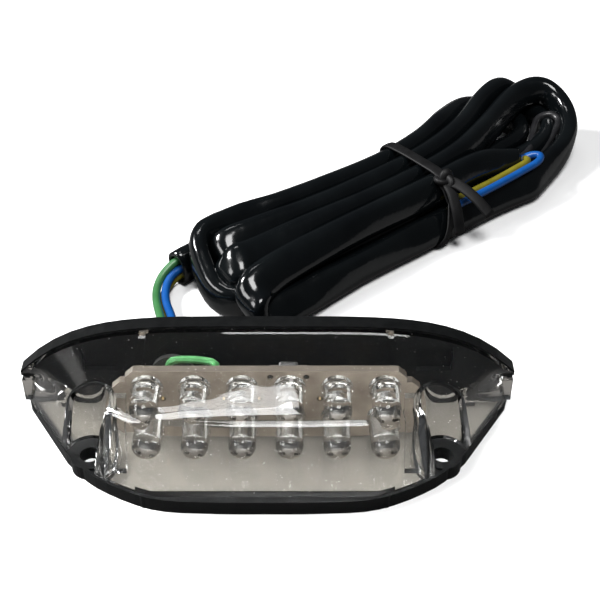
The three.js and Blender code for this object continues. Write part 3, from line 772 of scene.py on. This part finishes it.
def sleeve_mesh(line, lean):
    """Flat tube with a wall at each open end and a slow drift in how far it is squashed."""
    count = len(line)
    wall = 0.5
    draws = np.random.default_rng(7).normal(size=(count // 12 + 4, 2)).clip(-1.5, 1.5)
    at = np.linspace(0, len(draws) - 1, count)
    squash = np.interp(at, np.arange(len(draws)), draws[:, 0])
    twist = np.interp(at, np.arange(len(draws)), draws[:, 1])
    _, wide, thin = sleeve_frames(line, lean + 9 * twist)
    along = (line[:, :2] - HANK_START) @ HANK_ALONG
    loose = np.interp(along, [6, 24], [1.0, 0.0])
    inner = rounded(SLEEVE_THICK / 2 - wall, SLEEVE_HIGH / 2 - wall, 24)
    rings = [(3, inner), (0, inner)]
    for i in range(count):
        half_thick = SLEEVE_THICK / 2 * (1 + 0.05 * squash[i])
        half_high = SLEEVE_HIGH / 2 * (1 - 0.035 * squash[i] + 0.10 * loose[i])
        rings.append((i, rounded(half_thick, half_high, 24)))
    rings += [(count - 1, inner), (count - 4, inner)]
    return skin("lead_sleeve", line, wide, thin, rings)


def skin(name, line, up, side, rings):
    """Closed skin over section rings. Each ring is (index of its point on the line, outline)."""
    points, faces = [], []
    sides = len(rings[0][1])
    for index, section in rings:
        points.extend((line[index] + x * side[index] + y * up[index]) * MM for x, y in section)
    for ring in range(len(rings) - 1):
        for k in range(sides):
            a, b = ring * sides + k, ring * sides + (k + 1) % sides
            faces.append((a, b, b + sides, a + sides))
    faces.append(tuple(reversed(range(sides))))
    faces.append(tuple(range((len(rings) - 1) * sides, len(rings) * sides)))
    mesh = mesh_of(name, points, faces)
    bm = bmesh.new()
    bm.from_mesh(mesh)
    bmesh.ops.recalc_face_normals(bm, faces=bm.faces)
    bm.to_mesh(mesh)
    bm.free()
    return mesh


SLEEVE_LINE, SLEEVE_LEAN = sleeve_path()
sleeve = new_object("lead_sleeve", sleeve_mesh(SLEEVE_LINE, SLEEVE_LEAN), SLEEVE_BLACK)
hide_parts("cable_hank")


# ---- insulated cores: three from the lamp to the sleeve, and their far ends inside the loop ----
WIRE_R = 0.9


def transported_frames(line):
    """Tangent and two side axes, turned as little as possible from point to point."""
    tangent = np.gradient(line, axis=0)
    tangent /= np.linalg.norm(tangent, axis=1, keepdims=True)
    first = np.cross(tangent[0], [0.31, 0.17, 0.93])
    first /= np.linalg.norm(first)
    up = [first]
    for t in tangent[1:]:
        u = up[-1] - t * np.dot(up[-1], t)
        up.append(u / np.linalg.norm(u))
    up = np.array(up)
    return tangent, up, np.cross(tangent, up)


def round_wire(name, points, radius, material, step=0.8):
    line = smooth_line(points, step)
    _, up, side = transported_frames(line)
    full, small = rounded(radius, radius, 14, 2.0), rounded(radius * 0.8, radius * 0.8, 14, 2.0)
    rings = [(0, small)] + [(i, full) for i in range(len(line))] + [(len(line) - 1, small)]
    piece = new_object(name, skin(name, line, up, side, rings), material)
    return piece, line


# From the grommet in the back wall, down to the table and into the sleeve, in x, y and z
LEADS = {
    "green": (WIRE_GREEN, [
        (-18.55, 16.7, 9.7), (-18.7, 19, 9.4), (-19.5, 23.5, 7.6), (-21.4, 29.5, 4.8), (-23.0, 36, 3.0),
        (-24.3, 41.5, 2.4), (-24.6, 46, 2.6), (-23.4, 49.4, 3.8), (-20.6, 52.0, 5.4), (-17.6, 54.0, 5.7)]),
    "yellow": (WIRE_YELLOW, [
        (-17.5, 16.7, 7.8), (-17.7, 19, 7.4), (-18.5, 23.5, 5.6), (-20.0, 29.5, 2.8), (-21.6, 36, 1.1),
        (-22.9, 41.5, 0.95), (-23.1, 46, 0.95), (-21.9, 49.6, 1.3), (-20.0, 51.6, 1.8), (-17.2, 53.7, 1.9)]),
    "blue": (WIRE_BLUE, [
        (-16.45, 16.7, 9.7), (-16.6, 19, 9.4), (-17.4, 23.5, 7.6), (-19.2, 29.5, 4.6), (-20.7, 36, 2.9),
        (-22.3, 41.5, 2.4), (-22.7, 46, 2.5), (-21.9, 49.1, 3.1), (-20.0, 51.4, 3.6), (-17.2, 53.5, 3.8)]),
}
for colour, (material, points) in LEADS.items():
    wire, line = round_wire(f"lead_core_{colour}", points, WIRE_R, material)
    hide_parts(f"lead_wire_{colour}")

# Out of the sleeve's end and back along the hank under the tie, in the hank's own directions
TAILS = {
    "blue": (WIRE_BLUE, [
        (67, -12.2, 7.2), (72, -12.6, 8.0), (75.4, -13.6, 9.0), (76.8, -15.4, 9.2), (74.2, -17.0, 9.2),
        (68, -17.4, 9.0), (60, -17.6, 8.8), (53, -17.8, 8.8), (46, -17.6, 8.6)]),
    "yellow": (WIRE_YELLOW, [
        (67, -11.6, 6.2), (71.8, -12.0, 7.2), (73.6, -13.6, 8.6), (72.6, -15.0, 8.8), (67.5, -15.5, 8.8),
        (63, -15.6, 8.6), (57, -15.8, 8.6), (51, -16.0, 8.8), (46, -15.8, 8.8)]),
    "black": (WIRE_BLACK, [
        (67, -12.0, 8.2), (72, -12.0, 8.0), (79, -10.0, 7.2), (86, -5.0, 6.8), (92, -1.2, 7.6),
        (95.5, -2.2, 8.2), (95.2, -5.4, 7.6), (89, -8.4, 6.2), (82, -11.0, 4.6), (76, -13.4, 2.0)]),
}
for colour, (material, points) in TAILS.items():
    wire, line = round_wire(f"tail_core_{colour}", [hank_point(*p) for p in points], WIRE_R, material)


# ---- the tie: a flat strip round the waist, knotted on the near side ----
def hull_of(points):
    """Convex outline of points in a plane, anticlockwise."""
    points = sorted(map(tuple, points))

    def half(chain):
        made = []
        for p in chain:
            while len(made) > 1 and np.cross(np.subtract(made[-1], made[-2]), np.subtract(p, made[-2])) <= 0:
                made.pop()
            made.append(p)
        return made[:-1]

    return np.array(half(points) + half(points[::-1]))


def waist_hull(s_low, s_high):
    """Outline of the bundle, across and up, between two places along the hank."""
    mesh = sleeve.data
    co = np.array([v.co for v in mesh.vertices]) / MM
    plan = co[:, :2] - HANK_START
    s, t = plan @ HANK_ALONG, plan @ HANK_ACROSS
    inside = (s > s_low) & (s < s_high)
    return hull_of(np.column_stack([t[inside], co[inside, 2]]))


def tie_strip(name, line, normal, width, thick):
    """Ribbon along a line: its face looks along normal."""
    tangent = np.gradient(line, axis=0)
    tangent /= np.linalg.norm(tangent, axis=1, keepdims=True)
    normal = normal - tangent * (normal * tangent).sum(1, keepdims=True)
    normal /= np.linalg.norm(normal, axis=1, keepdims=True)
    section = rounded(width / 2, thick / 2, 16, 3.0)
    small = rounded(width / 2 - 0.2, thick / 2 - 0.15, 16, 3.0)
    rings = [(0, small)] + [(i, section) for i in range(len(line))] + [(len(line) - 1, small)]
    return skin(name, line, normal, np.cross(tangent, normal), rings)


def make_tie():
    """Line of the band once round the waist, and the way out from the bundle at each of its points."""
    ring = waist_hull(38, 49)
    centre = ring.mean(0)
    closed = np.vstack([ring, ring[:1]])
    closed = resample(closed, 0.6)[:-1]
    away = closed - centre
    away /= np.linalg.norm(away, axis=1, keepdims=True)
    closed = closed + 0.55 * away
    closed[:, 1] = np.maximum(closed[:, 1], 0.5)
    for _ in range(6):
        closed = 0.5 * closed + 0.25 * (np.roll(closed, 1, 0) + np.roll(closed, -1, 0))
    closed[:, 1] = np.maximum(closed[:, 1], 0.7)
    near_top = np.argmin(np.hypot(closed[:, 0] + 14.5, closed[:, 1] - 14))
    closed = np.roll(closed, -near_top, axis=0)
    closed = np.vstack([closed, closed[:2]])
    t, z = closed[:, 0], closed[:, 1]
    s = 45.8 - 5.5 * np.clip((9 - z) / 8, 0, 1) * np.clip((-4 - t) / 12, 0, 1)
    line = np.array([hank_point(a, b, c) for a, b, c in zip(s, t, z)])
    out_t = t - t.mean()
    out = np.column_stack([out_t * HANK_ACROSS[0], out_t * HANK_ACROSS[1], (z - z.mean()) * 1.4])
    return line, out


band_line, band_out = make_tie()
band = new_object("tie_strip_band", tie_strip("tie_strip_band", band_line, band_out, 2.8, 0.7), TIE_BLACK)
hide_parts("tie_band")
knot_at = band_line[0] + np.array([0, 0, 0.6])


def trefoil(centre, size, tilt):
    """Closed line of a simple overhand knot."""
    angle = np.linspace(0, 2 * np.pi, 60)
    x = np.sin(angle) + 2 * np.sin(2 * angle)
    y = np.cos(angle) - 2 * np.cos(2 * angle)
    z = -np.sin(3 * angle)
    points = np.column_stack([x, y, z * 1.1]) * size
    turn = np.array(Matrix.Rotation(tilt, 3, "X") @ Matrix.Rotation(0.5, 3, "Z"))
    return points @ turn.T + centre


def strip_tail(name, route):
    """One free end of the tie, along a route in the hank's own directions."""
    line = smooth_line([hank_point(*p) for p in route], 0.8)
    out = np.tile(np.array([0.35, -0.62, 0.7]), (len(line), 1))
    return new_object(name, tie_strip(name, line, out, 2.7, 0.8), TIE_BLACK)


knot_line = trefoil(knot_at, 0.62, 0.7)
_, up, side = transported_frames(knot_line)
knot_rings = [(i, rounded(0.95, 0.7, 12, 2.4)) for i in range(len(knot_line))]
knot = new_object("tie_knot", skin("tie_knot", knot_line, up, side, knot_rings), TIE_BLACK)
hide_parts("tie_tails")
ks, kt = (knot_at[:2] - HANK_START) @ HANK_ALONG, (knot_at[:2] - HANK_START) @ HANK_ACROSS
kz = knot_at[2]
long_tail = strip_tail("tie_tail_long", [
    (ks, kt, kz), (ks + 1.2, kt - 3.2, kz - 0.2), (ks + 2.6, kt - 7.4, kz - 2.2),
    (ks + 3.8, kt - 11.2, kz - 5.2)])
short_tail = strip_tail("tie_tail_short", [
    (ks, kt, kz), (ks - 0.6, kt - 3.0, kz - 1.6), (ks - 1.6, kt - 6.2, kz - 5.2),
    (ks - 2.2, kt - 8.2, kz - 9.4)])
